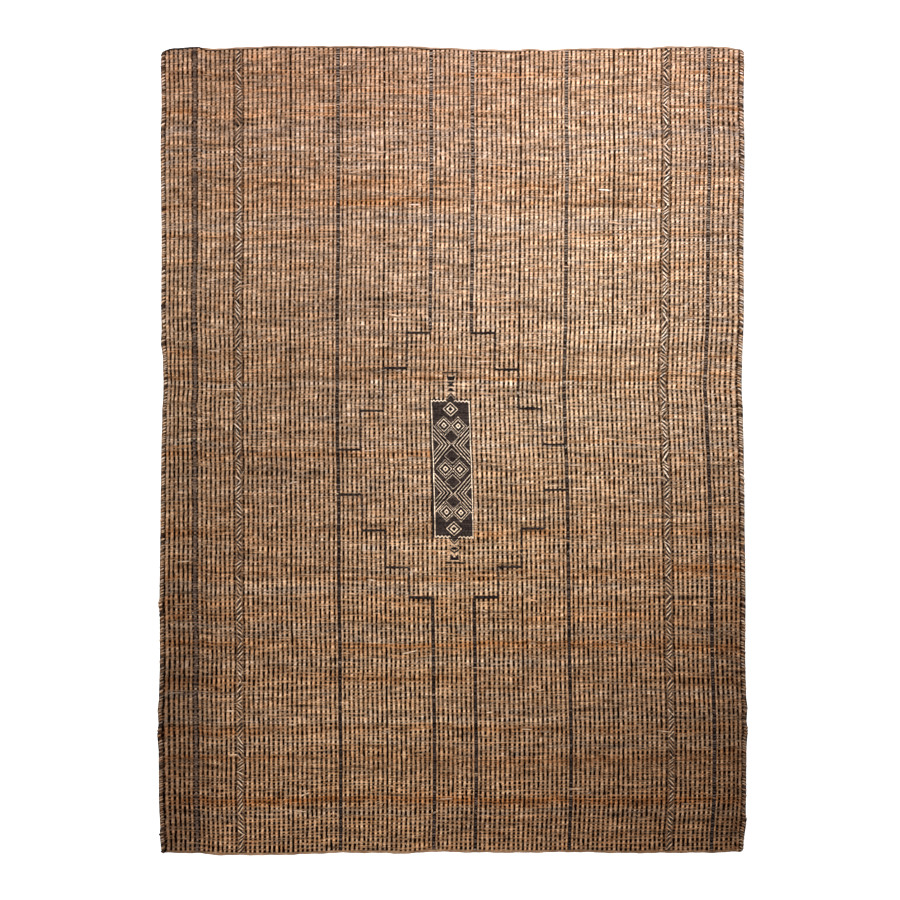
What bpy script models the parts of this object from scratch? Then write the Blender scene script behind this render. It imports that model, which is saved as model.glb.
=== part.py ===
"""A flatwoven jute rug with a narrow cloth tape sewn under each end.

Metres, with +Z up and +Y along the rug, towards its far end. The origin is on the floor, at the
middle of the rug's underside.
"""

import math
from collections import namedtuple

import bmesh
import bpy

# The woven body: 124 lengthwise ribs of jute between dark grooves
RIB_COUNT = 124
POINTS_PER_RIB = 3
RIB_HEIGHT = 0.009
GROOVE_HEIGHT = 0.0065
SELVEDGE_HEIGHT = 0.0045
END_HEIGHT = 0.0055

# The ribs lean a little, to the right towards the near end, and run straight beside the sides
RIB_LEAN = 0.010
STRAIGHT_SHARE = 0.12

# Long shallow ripples of the top face: radians a metre across and along, and height
Ripple = namedtuple("Ripple", "across along phase height")
RIPPLES = (
    Ripple(5.0, 3.5, 1.3, 0.0003),
    Ripple(2.0, 9.0, 0.0, 0.0002),
)

# Lengthwise sections: a short one rounds each end, and the rest are even
SECTIONS = 10
END_SECTION = 0.014
SIDE_STEP = 0.020

# The outline: half the nominal length, and the side's half width where it changes
HALF_LENGTH = 1.176
SideSpot = namedtuple("SideSpot", "along half_width")
SIDE_LINE = (
    SideSpot(-1.150, 0.851),
    SideSpot(-1.002, 0.857),
    SideSpot(-0.792, 0.858),
    SideSpot(-0.582, 0.854),
    SideSpot(-0.442, 0.855),
    SideSpot(-0.162, 0.852),
    SideSpot(-0.022, 0.850),
    SideSpot(0.118, 0.847),
    SideSpot(0.188, 0.843),
    SideSpot(0.258, 0.845),
    SideSpot(0.398, 0.850),
    SideSpot(0.608, 0.849),
    SideSpot(0.888, 0.852),
    SideSpot(1.028, 0.849),
    SideSpot(1.133, 0.851),
)

# Where a few weft turns stand out of the side, -1 for the left side and 1 for the right
Bulge = namedtuple("Bulge", "side along rise length")
BULGES = (
    Bulge(-1, 0.316, 0.004, 0.050),
    Bulge(-1, -0.451, 0.005, 0.050),
    Bulge(-1, -0.754, 0.003, 0.050),
    Bulge(-1, -0.822, 0.005, 0.060),
    Bulge(-1, -1.120, 0.004, 0.050),
    Bulge(1, -0.754, 0.003, 0.050),
    Bulge(1, -0.822, 0.005, 0.060),
    Bulge(1, -1.086, 0.005, 0.055),
)

# How far each end reaches from the middle, at places across the rug
EndSpot = namedtuple("EndSpot", "across reach")
FAR_END = (
    EndSpot(-0.850, 1.166),
    EndSpot(-0.810, 1.174),
    EndSpot(-0.745, 1.178),
    EndSpot(-0.704, 1.174),
    EndSpot(-0.611, 1.178),
    EndSpot(-0.520, 1.182),
    EndSpot(-0.144, 1.182),
    EndSpot(-0.060, 1.178),
    EndSpot(0.089, 1.172),
    EndSpot(0.182, 1.170),
    EndSpot(0.229, 1.174),
    EndSpot(0.276, 1.170),
    EndSpot(0.369, 1.175),
    EndSpot(0.556, 1.177),
    EndSpot(0.649, 1.181),
    EndSpot(0.789, 1.180),
    EndSpot(0.850, 1.170),
)
NEAR_END = (
    EndSpot(-0.850, 1.175),
    EndSpot(-0.751, 1.176),
    EndSpot(-0.680, 1.182),
    EndSpot(-0.520, 1.182),
    EndSpot(-0.424, 1.179),
    EndSpot(-0.331, 1.175),
    EndSpot(-0.191, 1.176),
    EndSpot(-0.144, 1.178),
    EndSpot(-0.051, 1.172),
    EndSpot(0.042, 1.174),
    EndSpot(0.180, 1.175),
    EndSpot(0.345, 1.173),
    EndSpot(0.510, 1.176),
    EndSpot(0.742, 1.175),
    EndSpot(0.850, 1.172),
)

# Where named grooves lie across the rug, as shares of its half width
GrooveSpot = namedtuple("GrooveSpot", "groove share")
GROOVE_SPOTS = (
    GrooveSpot(0, -1.000),
    GrooveSpot(17, -0.730),
    GrooveSpot(38, -0.386),
    GrooveSpot(48, -0.228),
    GrooveSpot(58, -0.0675),
    GrooveSpot(67, 0.0703),
    GrooveSpot(77, 0.234),
    GrooveSpot(87, 0.395),
    GrooveSpot(97, 0.558),
    GrooveSpot(108, 0.738),
    GrooveSpot(117, 0.885),
    GrooveSpot(124, 1.000),
)

# Corner radii, by side and by end
CORNERS = {
    (-1, 1): 0.016,
    (1, 1): 0.014,
    (-1, -1): 0.008,
    (1, -1): 0.018,
}

# The end tapes: each lies in a shallow recess under the weave and shows past it as a lip
LIP = 0.006
LIP_FADE = 0.020
TAPE_THICKNESS = 0.002
TAPE_TONGUE = 0.030
TAPE_ROUNDING = 0.0005
TAPE_STEP = 0.020
GAP = 0.0003
Tape = namedtuple("Tape", "name side_of_rug line left right")
TAPES = (
    Tape("end_tape_far", 1, FAR_END, -0.738, 0.836),
    Tape("end_tape_near", -1, NEAR_END, -0.838, 0.836),
)

JUTE_COLOUR = (0.36, 0.22, 0.125, 1.0)
TAPE_COLOUR = (0.20, 0.135, 0.09, 1.0)


def clear_scene():
    for obj in list(bpy.data.objects):
        bpy.data.objects.remove(obj)


def collection(name):
    made = bpy.data.collections.new(name)
    bpy.context.scene.collection.children.link(made)
    return made


def move_to(obj, target):
    for old in list(obj.users_collection):
        old.objects.unlink(obj)
    target.objects.link(obj)


def finish(name, colour, roughness):
    """A plain Principled finish."""
    material = bpy.data.materials.new(name)
    material.use_nodes = True
    shader = material.node_tree.nodes["Principled BSDF"]
    shader.inputs["Base Color"].default_value = colour
    shader.inputs["Roughness"].default_value = roughness
    shader.inputs["Metallic"].default_value = 0.0
    return material


def eased(spots, place):
    """The second column of a table at a place along its first, with soft turns between rows."""
    if place <= spots[0][0]:
        return spots[0][1]
    for low, high in zip(spots, spots[1:]):
        if place <= high[0]:
            share = (place - low[0]) / (high[0] - low[0])
            return low[1] + (high[1] - low[1]) * (1 - math.cos(math.pi * share)) / 2
    return spots[-1][1]


def straight(spots, place):
    """The same with straight runs between rows."""
    for low, high in zip(spots, spots[1:]):
        if place <= high[0]:
            share = (place - low[0]) / (high[0] - low[0])
            return low[1] + (high[1] - low[1]) * share
    return spots[-1][1]


def side_reach(side, along):
    """How far the side's edge lies from the middle line, bulges included."""
    reach = eased(SIDE_LINE, along)
    for bulge in BULGES:
        away = abs(along - bulge.along) / (bulge.length / 2)
        if bulge.side == side and away < 1:
            reach += bulge.rise * (1 + math.cos(math.pi * away)) / 2
    return reach


def under_tape(tape, across):
    """From 0 outside the tape to 1 where the tape runs under the weave."""
    inside = min(across - tape.left, tape.right - across) / LIP_FADE
    return min(max(inside, 0.0), 1.0)


def end_reach(tape, across):
    """How far the weave reaches at this end. It stops a lip short of the tape's edge."""
    return eased(tape.line, across) - LIP * under_tape(tape, across)


def rounded_corner(x, y):
    """Pulls a point in a corner's square onto the corner's arc."""
    side = 1 if x > 0 else -1
    end = 1 if y > 0 else -1
    tape = TAPES[0] if end > 0 else TAPES[1]
    radius = CORNERS[(side, end)]
    centre_x = side_reach(side, y) - radius
    centre_y = end_reach(tape, x) - radius
    out_x = abs(x) - centre_x
    out_y = abs(y) - centre_y
    distance = math.hypot(out_x, out_y)
    if min(out_x, out_y) <= 0 or distance <= radius:
        return x, y
    pull = radius / distance
    return side * (centre_x + out_x * pull), end * (centre_y + out_y * pull)


def section_share(number):
    """How far along the rug a section lies, from 0 at the near end to 1 at the far end."""
    short = END_SECTION / (2 * HALF_LENGTH)
    if number == 0:
        return 0.0
    if number == SECTIONS:
        return 1.0
    return short + (number - 1) / (SECTIONS - 2) * (1 - 2 * short)


def top_height(point, section, x, y):
    """Height of the top face: a crest on each rib, low in the grooves, at the sides and at the ends."""
    last_point = RIB_COUNT * POINTS_PER_RIB
    if point in (0, last_point):
        return SELVEDGE_HEIGHT
    height = RIB_HEIGHT if point % POINTS_PER_RIB else GROOVE_HEIGHT
    if section in (0, SECTIONS):
        return max(height - RIB_HEIGHT + END_HEIGHT, SELVEDGE_HEIGHT)
    for ripple in RIPPLES:
        height += ripple.height * math.sin(ripple.across * x + ripple.along * y + ripple.phase)
    return height


def shape_top(bm):
    """Lays a flat grid out as the rug's ribbed top face."""
    points = RIB_COUNT * POINTS_PER_RIB
    for vert in bm.verts:
        point = round((vert.co.x + 0.5) * points)
        section = round((vert.co.y + 0.5) * SECTIONS)
        groove = point / POINTS_PER_RIB
        share = straight(GROOVE_SPOTS, groove)
        v = section_share(section)
        along = (2 * v - 1) * HALF_LENGTH
        loose = min((1 - abs(share)) / STRAIGHT_SHARE, 1.0)
        side = 1 if share > 0 else -1
        reach = side_reach(side, along) if abs(share) == 1 else eased(SIDE_LINE, along)
        x = share * reach - RIB_LEAN * loose * (v - 0.5)
        near = -end_reach(TAPES[1], x)
        far = end_reach(TAPES[0], x)
        y = near + (far - near) * v
        height = top_height(point, section, x, y)
        x, y = rounded_corner(x, y)
        vert.co = (x, y, height)


def on_side(edge):
    """Whether a boundary edge runs along a side of the rug and not along an end."""
    first, second = (vert.co for vert in edge.verts)
    return edge.is_boundary and abs(first.y - second.y) > 2 * SIDE_STEP


def follow_side(bm):
    """Cuts the side edges into short steps, which follow the bulges."""
    for edge in [edge for edge in bm.edges if on_side(edge)]:
        cuts = math.ceil(edge.calc_length() / SIDE_STEP) - 1
        made = bmesh.ops.subdivide_edges(bm, edges=[edge], cuts=cuts)
        for vert in made["geom_inner"]:
            if isinstance(vert, bmesh.types.BMVert):
                side = 1 if vert.co.x > 0 else -1
                vert.co.x = side * side_reach(side, vert.co.y)


def close_below(bm):
    """Drops the rim to the floor and fills the flat underside."""
    rim = [edge for edge in bm.edges if edge.is_boundary]
    made = bmesh.ops.extrude_edge_only(bm, edges=rim)
    for item in made["geom"]:
        if isinstance(item, bmesh.types.BMVert):
            item.co.z = 0.0
    lower_rim = [edge for edge in bm.edges if edge.is_boundary]
    bmesh.ops.edgeloop_fill(bm, edges=lower_rim)
    bmesh.ops.recalc_face_normals(bm, faces=bm.faces)


def tape_recess(tape, cutters):
    """The box that cuts a tape's recess out of the rug's underside."""
    inner = HALF_LENGTH - TAPE_TONGUE - GAP
    outer = HALF_LENGTH + TAPE_TONGUE
    height = TAPE_THICKNESS + GAP
    width = tape.right - tape.left + 2 * GAP
    bpy.ops.mesh.primitive_cube_add(
        size=1,
        location=((tape.left + tape.right) / 2, tape.side_of_rug * (inner + outer) / 2, 0),
        scale=(width, outer - inner, 2 * height),
    )
    box = bpy.context.object
    box.name = tape.name + "_recess"
    box.hide_render = True
    box.display_type = "WIRE"
    bpy.ops.object.transform_apply(location=False, rotation=False, scale=True)
    move_to(box, cutters)
    return box


def make_rug(parts, cutters):
    bpy.ops.mesh.primitive_grid_add(
        x_subdivisions=RIB_COUNT * POINTS_PER_RIB,
        y_subdivisions=SECTIONS,
        size=1,
    )
    rug = bpy.context.object
    rug.name = "rug"
    bm = bmesh.new()
    bm.from_mesh(rug.data)
    shape_top(bm)
    follow_side(bm)
    close_below(bm)
    bm.to_mesh(rug.data)
    bm.free()
    rug.data.materials.append(finish("jute_weave", JUTE_COLOUR, 0.9))
    for tape in TAPES:
        cut = rug.modifiers.new(tape.name + "_recess", "BOOLEAN")
        cut.operation = "DIFFERENCE"
        cut.solver = "EXACT"
        cut.object = tape_recess(tape, cutters)
    move_to(rug, parts)
    return rug


def make_tape(tape, parts, material):
    """A flat tape whose outer edge follows the end of the rug."""
    steps = round((tape.right - tape.left) / TAPE_STEP)
    bpy.ops.mesh.primitive_grid_add(x_subdivisions=steps, y_subdivisions=1, size=1)
    strip = bpy.context.object
    strip.name = tape.name
    for vert in strip.data.vertices:
        x = tape.left + (vert.co.x + 0.5) * (tape.right - tape.left)
        outside = vert.co.y * tape.side_of_rug > 0
        reach = eased(tape.line, x) if outside else HALF_LENGTH - TAPE_TONGUE
        vert.co = (x, tape.side_of_rug * reach, 0.0)
    body = strip.modifiers.new("thickness", "SOLIDIFY")
    body.thickness = TAPE_THICKNESS
    body.offset = 1.0
    edges = strip.modifiers.new("soft_edges", "BEVEL")
    edges.width = TAPE_ROUNDING
    edges.segments = 1
    edges.limit_method = "ANGLE"
    strip.data.materials.append(material)
    move_to(strip, parts)
    return strip


def main():
    clear_scene()
    parts = collection("jute_rug")
    cutters = collection("cutters")
    make_rug(parts, cutters)
    material = finish("tape_cloth", TAPE_COLOUR, 0.95)
    for tape in TAPES:
        make_tape(tape, parts, material)


main()
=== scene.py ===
import math
from collections import namedtuple
from functools import partial

import bpy
import numpy as np
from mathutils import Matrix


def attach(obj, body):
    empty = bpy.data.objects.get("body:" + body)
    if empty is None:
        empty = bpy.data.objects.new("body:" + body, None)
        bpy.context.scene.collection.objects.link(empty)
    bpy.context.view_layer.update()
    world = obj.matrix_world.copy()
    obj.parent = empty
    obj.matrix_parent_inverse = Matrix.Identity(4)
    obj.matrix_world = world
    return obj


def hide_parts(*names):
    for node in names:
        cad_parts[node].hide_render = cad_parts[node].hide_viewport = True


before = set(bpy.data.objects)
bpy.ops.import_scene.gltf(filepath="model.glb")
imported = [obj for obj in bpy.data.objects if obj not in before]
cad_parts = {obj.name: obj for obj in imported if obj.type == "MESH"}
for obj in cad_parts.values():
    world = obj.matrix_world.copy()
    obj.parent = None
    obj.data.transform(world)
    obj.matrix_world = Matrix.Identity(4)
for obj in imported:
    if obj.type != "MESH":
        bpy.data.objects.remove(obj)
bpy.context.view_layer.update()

# The room: a pale plain floor, soft light from above and from one side, and a camera that looks
# straight down on the rug from far off.

CAMERA_PLACE = (-0.0073, 0.0015, 14.589)
LENS = 200.0
FLOOR_SIZE = 24.0
FLOOR_LEVEL = -0.0004
FLOOR_GREY = 0.90
SKY_LIGHT = 0.46

bpy.ops.object.select_all(action="DESELECT")
bpy.ops.mesh.primitive_plane_add(size=FLOOR_SIZE, location=(0.0, 0.0, FLOOR_LEVEL))
floor = bpy.context.object
floor.name = "floor"
floor_paint = bpy.data.materials.new("floor_paint")
floor_paint.use_nodes = True
floor_shader = floor_paint.node_tree.nodes["Principled BSDF"]
floor_shader.inputs["Base Color"].default_value = (FLOOR_GREY, FLOOR_GREY, FLOOR_GREY, 1.0)
floor_shader.inputs["Roughness"].default_value = 0.9
floor_shader.inputs["Specular IOR Level"].default_value = 0.0
floor.data.materials.append(floor_paint)

Softbox = namedtuple("Softbox", "name place size power")
for box in (
    Softbox("top_light", (0.0, 1.5, 17.0), 9.0, 3400.0),
    Softbox("side_light", (-5.5, 4.5, 5.5), 2.5, 440.0),
):
    tilt = math.atan2(math.hypot(box.place[0], box.place[1]), box.place[2])
    turn = math.atan2(box.place[1], box.place[0]) + math.pi / 2
    bpy.ops.object.light_add(type="AREA", location=box.place, rotation=(tilt, 0.0, turn))
    lamp = bpy.context.object
    lamp.name = box.name
    lamp.data.size = box.size
    lamp.data.energy = box.power

world = bpy.data.worlds.new("studio")
world.use_nodes = True
world.node_tree.nodes["Background"].inputs["Color"].default_value = (1.0, 1.0, 1.0, 1.0)
world.node_tree.nodes["Background"].inputs["Strength"].default_value = SKY_LIGHT
bpy.context.scene.world = world
bpy.context.scene.view_settings.view_transform = "Standard"

bpy.ops.object.camera_add(location=CAMERA_PLACE, rotation=(0.0, 0.0, 0.0))
camera = bpy.context.object
camera.data.lens = LENS
camera.data.sensor_width = 36.0
camera.data.clip_end = 60.0
bpy.context.scene.camera = camera

# The ground of the weave: one cloth of dark warp and thick jute weft, which shows whole on the
# underside and dark between the ribs above. It is the sheet that every stitch and cord sits on.
# Places on it are given in columns, the ribs across the rug, and in rows, the weft turns along it.

COLUMNS = 124
ROWS = 240
HALF_LENGTH = 1.176
# Shares of the half width over which the lines' wander fades and the side bulges grow, and share of the
# length over which the rows straighten at each end. The ripples lift only what lies above a height.
STRAIGHT_SHARE = 0.06
BULGE_SHARE = 0.025
END_SHARE = 0.04
RIPPLES_ABOVE = 0.003
SIDE_LINE = (
    (-1.150, 0.851), (-1.002, 0.857), (-0.792, 0.858), (-0.582, 0.854), (-0.442, 0.855),
    (-0.162, 0.852), (-0.022, 0.850), (0.118, 0.847), (0.188, 0.843), (0.258, 0.845),
    (0.398, 0.850), (0.608, 0.849), (0.888, 0.852), (1.028, 0.849), (1.133, 0.851),
)
FAR_END = (
    (-0.850, 1.166), (-0.810, 1.174), (-0.745, 1.178), (-0.704, 1.174), (-0.611, 1.178),
    (-0.520, 1.182), (-0.144, 1.182), (-0.060, 1.178), (0.089, 1.172), (0.182, 1.170),
    (0.229, 1.174), (0.276, 1.170), (0.369, 1.175), (0.556, 1.177), (0.649, 1.181),
    (0.789, 1.180), (0.850, 1.170),
)
NEAR_END = (
    (-0.850, 1.175), (-0.751, 1.176), (-0.680, 1.182), (-0.520, 1.182), (-0.424, 1.179),
    (-0.331, 1.175), (-0.191, 1.176), (-0.144, 1.178), (-0.051, 1.172), (0.042, 1.174),
    (0.180, 1.175), (0.345, 1.173), (0.510, 1.176), (0.742, 1.175), (0.850, 1.172),
)
# Grooves between ribs, and where they lie as shares of the half width
GROOVE_SPOTS = (
    (0, -1.000), (17, -0.7310), (38, -0.3895), (48, -0.2308), (58, -0.0703), (67, 0.0711),
    (77, 0.2355), (87, 0.3940), (97, 0.5560), (108, 0.7351), (117, 0.8815), (124, 1.000),
)
# How far the lengthwise lines stray to the right, by place along the rug
LINE_WANDER = (
    (-1.182, 0.0052), (-1.019, 0.0079), (-0.888, 0.0082), (-0.655, 0.0050), (-0.421, 0.0023),
    (-0.305, 0.0012), (-0.188, 0.0003), (-0.071, -0.0017), (0.045, -0.0050), (0.162, -0.0073),
    (0.395, -0.0050), (0.628, -0.0029), (0.862, -0.0012), (0.978, -0.0026), (1.182, -0.0023),
)
Bulge = namedtuple("Bulge", "side along rise length")
BULGES = (
    Bulge(-1, 0.316, 0.004, 0.050),
    Bulge(-1, -0.451, 0.005, 0.050),
    Bulge(-1, -0.754, 0.003, 0.050),
    Bulge(-1, -0.822, 0.005, 0.060),
    Bulge(-1, -1.120, 0.004, 0.050),
    Bulge(1, -0.754, 0.003, 0.050),
    Bulge(1, -0.822, 0.005, 0.060),
    Bulge(1, -1.086, 0.005, 0.055),
)
CORNERS = {(-1, 1): 0.016, (1, 1): 0.014, (-1, -1): 0.008, (1, -1): 0.018}
LIP = {1: 0.006, -1: 0.008}
LIP_FADE = 0.014
TAPE_SIDES = {1: (-0.738, 0.836), -1: (-0.843, 0.836)}
# How the weft rows rise and fall across the rug: radians a metre across and along, and height
Wave = namedtuple("Wave", "across along phase height")
ROW_WAVES = (
    Wave(6.1, 3.7, 0.6, 0.0024),
    Wave(12.7, -8.3, 2.1, 0.0012),
    Wave(3.3, 14.1, 4.0, 0.0020),
    Wave(27.0, 19.0, 1.0, 0.0005),
    Wave(46.0, -31.0, 5.2, 0.0003),
)
RIPPLES = (Wave(5.0, 3.5, 1.3, 0.0003), Wave(2.0, 9.0, 0.0, 0.0002))
GROUND_TOP = 0.0036
GROUND_RIM = 0.0026
GROUND_RIB = 0.0012
OVER_TAPE = 0.0024
GROUND_ROWS = 60


def eased(spots, place):
    """The second column of a table at places along its first, with soft turns between rows."""
    marks = np.array([spot[0] for spot in spots])
    values = np.array([spot[1] for spot in spots])
    low = np.clip(np.searchsorted(marks, place) - 1, 0, len(marks) - 2)
    share = np.clip((place - marks[low]) / (marks[low + 1] - marks[low]), 0.0, 1.0)
    return values[low] + (values[low + 1] - values[low]) * (1 - np.cos(np.pi * share)) / 2


def soft_noise(dice, rows, columns, row_run, column_run):
    """Random numbers about 0 for a field of rows and columns, soft over so many of each."""
    coarse = dice.standard_normal((int(rows / row_run) + 3, int(columns / column_run) + 3))
    row, column = np.arange(rows) / row_run, np.arange(columns) / column_run
    low_row, low_column = row.astype(int), column.astype(int)
    up = (row - low_row)[:, None]
    right = (column - low_column)[None, :]
    up, right = up * up * (3 - 2 * up), right * right * (3 - 2 * right)
    low_row, low_column = low_row[:, None], low_column[None, :]
    lower = coarse[low_row, low_column] * (1 - right) + coarse[low_row, low_column + 1] * right
    upper = coarse[low_row + 1, low_column] * (1 - right) + coarse[low_row + 1, low_column + 1] * right
    return lower * (1 - up) + upper * up


def end_reach(end, across):
    """How far the weave reaches at the far end (1) or near end (-1). It stops short of the tape's edge."""
    left, right = TAPE_SIDES[end]
    inside = np.clip(np.minimum(across - left, right - across) / LIP_FADE, 0.0, 1.0)
    return eased(FAR_END if end > 0 else NEAR_END, across) - LIP[end] * inside


def side_reach(side, along):
    """How far a side's edge lies from the middle line, bulges included."""
    reach = eased(SIDE_LINE, along)
    for bulge in BULGES:
        away = np.clip(np.abs(along - bulge.along) / (bulge.length / 2), 0.0, 1.0)
        reach = reach + (side == bulge.side) * bulge.rise * (1 + np.cos(np.pi * away)) / 2
    return reach


weft_dice = np.random.default_rng(11)
row_heights = 1.0 + 0.28 * weft_dice.standard_normal(ROWS)
row_heights += 0.08 * np.where(np.arange(ROWS) % 2 == 0, 1, -1)
row_marks = np.concatenate([[0.0], np.cumsum(np.clip(row_heights, 0.55, 1.75))])
row_marks /= row_marks[-1]
GROOVE_NUMBERS = [spot[0] for spot in GROOVE_SPOTS]
GROOVE_SHARES = [spot[1] for spot in GROOVE_SPOTS]


def lay(column, row, height):
    """Lays places of the weave on the rug: columns 0 to 124, rows 0 to 240, heights in metres."""
    share = np.interp(column, GROOVE_NUMBERS, GROOVE_SHARES)
    v = np.interp(row, np.arange(ROWS + 1), row_marks)
    along = (2 * v - 1) * HALF_LENGTH
    side = np.where(share > 0, 1, -1)
    loose = np.clip((1 - np.abs(share)) / STRAIGHT_SHARE, 0.0, 1.0)
    edge = np.clip((np.abs(share) - 1 + BULGE_SHARE) / BULGE_SHARE, 0.0, 1.0)
    half = eased(SIDE_LINE, along)
    half = half + (side_reach(side, along) - half) * edge
    x = share * half + eased(LINE_WANDER, along) * loose
    near, far = -end_reach(-1, x), end_reach(1, x)
    y = near + (far - near) * v
    inner = np.clip(np.minimum(v, 1 - v) / END_SHARE, 0.0, 1.0)
    for wave in ROW_WAVES:
        y = y + inner * wave.height * np.sin(wave.across * x + wave.along * y + wave.phase)
    z = height
    for ripple in RIPPLES:
        z = z + inner * (height > RIPPLES_ABOVE) * ripple.height * np.sin(
            ripple.across * x + ripple.along * y + ripple.phase
        )
    for (corner_side, corner_end), radius in CORNERS.items():
        here = (np.sign(x) == corner_side) & (np.sign(y) == corner_end)
        centre_x = side_reach(corner_side, y) - radius
        centre_y = end_reach(corner_end, x) - radius
        out_x, out_y = np.abs(x) - centre_x, np.abs(y) - centre_y
        distance = np.maximum(np.hypot(out_x, out_y), 1e-9)
        pulled = here & (out_x > 0) & (out_y > 0) & (distance > radius)
        x = np.where(pulled, corner_side * (centre_x + out_x * radius / distance), x)
        y = np.where(pulled, corner_end * (centre_y + out_y * radius / distance), y)
    return x, y, z


def points_of(obj):
    """A mesh's points as an array of three columns."""
    flat = np.empty(len(obj.data.vertices) * 3)
    obj.data.vertices.foreach_get("co", flat)
    return flat.reshape(-1, 3)


def put_points(obj, x, y, z):
    """Moves a mesh's points."""
    obj.data.vertices.foreach_set("co", np.stack([x, y, z], axis=1).ravel())
    obj.data.update()


def corner_points(obj):
    """The number of the point at each corner of each face."""
    points = np.empty(len(obj.data.loops), dtype=int)
    obj.data.loops.foreach_get("vertex_index", points)
    return points


def lay_map(obj, name, u, v):
    """Gives a mesh a map, from two values at each of its points."""
    layer = obj.data.uv_layers.active or obj.data.uv_layers.new(name=name)
    layer.name = name
    corner = corner_points(obj)
    layer.data.foreach_set("uv", np.stack([u[corner], v[corner]], axis=1).ravel())


def new_grid(name, across, along):
    """A flat grid of side 1, with so many faces across and along."""
    bpy.ops.object.select_all(action="DESELECT")
    bpy.ops.mesh.primitive_grid_add(x_subdivisions=across, y_subdivisions=along, size=1)
    bpy.context.object.name = name
    return bpy.context.object


def pick(obj):
    """Selects one object alone."""
    bpy.ops.object.select_all(action="DESELECT")
    obj.select_set(True)
    bpy.context.view_layer.objects.active = obj


def apply_modifiers(obj):
    """Applies all modifiers of the object, first to last."""
    pick(obj)
    for modifier in list(obj.modifiers):
        bpy.ops.object.modifier_apply(modifier=modifier.name)


def add_node(tree, kind, settings=None, inputs=None):
    """Adds a shader node. An input is a plain value or another node's output."""
    made = tree.nodes.new(kind)
    for name, value in (settings or {}).items():
        setattr(made, name, value)
    for socket, value in (inputs or {}).items():
        if isinstance(value, bpy.types.NodeSocket):
            tree.links.new(value, made.inputs[socket])
        else:
            made.inputs[socket].default_value = value
    return made


def ramp(tree, factor, stops):
    """A colour ramp of (place, colour) stops."""
    made = add_node(tree, "ShaderNodeValToRGB", inputs={"Fac": factor})
    elements = made.color_ramp.elements
    while len(elements) < len(stops):
        elements.new(1.0)
    for element, (place, colour) in zip(elements, stops):
        element.position = place
        element.color = (*colour, 1.0)
    return made.outputs["Color"]


def math_node(tree, operation, first, second=0.0):
    """One sum of two values."""
    return add_node(
        tree, "ShaderNodeMath", {"operation": operation}, {0: first, 1: second}
    ).outputs[0]


def mixed(tree, factor, first, second, blend="MIX"):
    """Two colours mixed."""
    return add_node(
        tree,
        "ShaderNodeMix",
        {"data_type": "RGBA", "blend_type": blend},
        {"Factor": factor, 6: first, 7: second},
    ).outputs[2]


def stretched(tree, value, low, high, new_low=0.0, new_high=1.0, way="LINEAR"):
    """A value stretched from one range to another, and kept within it."""
    return add_node(
        tree, "ShaderNodeMapRange", {"interpolation_type": way},
        {0: value, 1: low, 2: high, 3: new_low, 4: new_high},
    ).outputs[0]


def noise(tree, place, scale, detail, roughness=0.5):
    """Soft noise over a place, with its own scale along each axis."""
    drawn = add_node(tree, "ShaderNodeMapping", inputs={"Vector": place, "Scale": scale}).outputs[0]
    return add_node(
        tree, "ShaderNodeTexNoise",
        inputs={"Vector": drawn, "Scale": 1.0, "Detail": detail, "Roughness": roughness},
    ).outputs["Fac"]


def place_on_rug(tree):
    """The place on the rug as shares of its width and length, from the left and from the near end."""
    place = add_node(tree, "ShaderNodeTexCoord").outputs["Object"]
    split = add_node(tree, "ShaderNodeSeparateXYZ", inputs={0: place})
    across = stretched(tree, split.outputs["X"], -0.85, 0.85)
    return across, stretched(tree, split.outputs["Y"], -1.18, 1.18)


# Painted shade over the whole rug, where the light falls off: the colour grows darker and browner towards
# the near end, and away from a pale lane that runs from right of the middle at the far end to left of it at
# the near end. Both edges are brown too, most of all in the near third.
PAINTED_SHADE_ALONG = (
    (0.00, (0.55, 0.46, 0.36)), (0.30, (0.72, 0.65, 0.55)), (0.55, (0.85, 0.84, 0.80)),
    (0.75, (1.00, 1.00, 1.00)), (1.00, (0.95, 0.87, 0.85)),
)
PAINTED_SHADE_FROM_LANE = (
    (0.00, (1.00, 1.00, 1.00)), (0.20, (0.92, 0.91, 0.93)), (0.45, (0.71, 0.67, 0.66)),
    (0.70, (0.62, 0.57, 0.53)),
)
# From and to along the rug: where the lane lies across, and how strong the edges are
LANE = (0.10, 0.60, 0.35, 0.76)
EDGE_STRENGTH = (0.20, 0.45, 1.0, 0.15)
PAINTED_SHADE_EDGES = (
    (0.00, (0.62, 0.60, 0.60)), (0.06, (0.66, 0.64, 0.63)), (0.11, (1.00, 1.00, 1.00)),
    (0.92, (1.00, 1.00, 1.00)), (1.00, (0.70, 0.68, 0.68)),
)


def with_painted_shade(tree, colour):
    """Tints a colour by its place on the rug with painted shade, where the light falls off."""
    across, along = place_on_rug(tree)
    from_lane = math_node(tree, "SUBTRACT", across, stretched(tree, along, *LANE))
    from_lane = math_node(tree, "ABSOLUTE", from_lane)
    tinted = mixed(tree, 1.0, colour, ramp(tree, along, PAINTED_SHADE_ALONG), "MULTIPLY")
    tinted = mixed(tree, 1.0, tinted, ramp(tree, from_lane, PAINTED_SHADE_FROM_LANE), "MULTIPLY")
    edge_strength = stretched(tree, along, *EDGE_STRENGTH)
    return mixed(tree, edge_strength, tinted, ramp(tree, across, PAINTED_SHADE_EDGES), "MULTIPLY")


# The scale of uneven spinning, and what the fibres' noise becomes: from and to, then light or roughness
CLUMPS = (16.0, 300.0, 300.0)
FIBRE_LIGHT = (0.25, 0.75, 0.72, 1.24)
FIBRE_ROUGHNESS = (0.30, 0.70, 0.95, 0.78)


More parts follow.
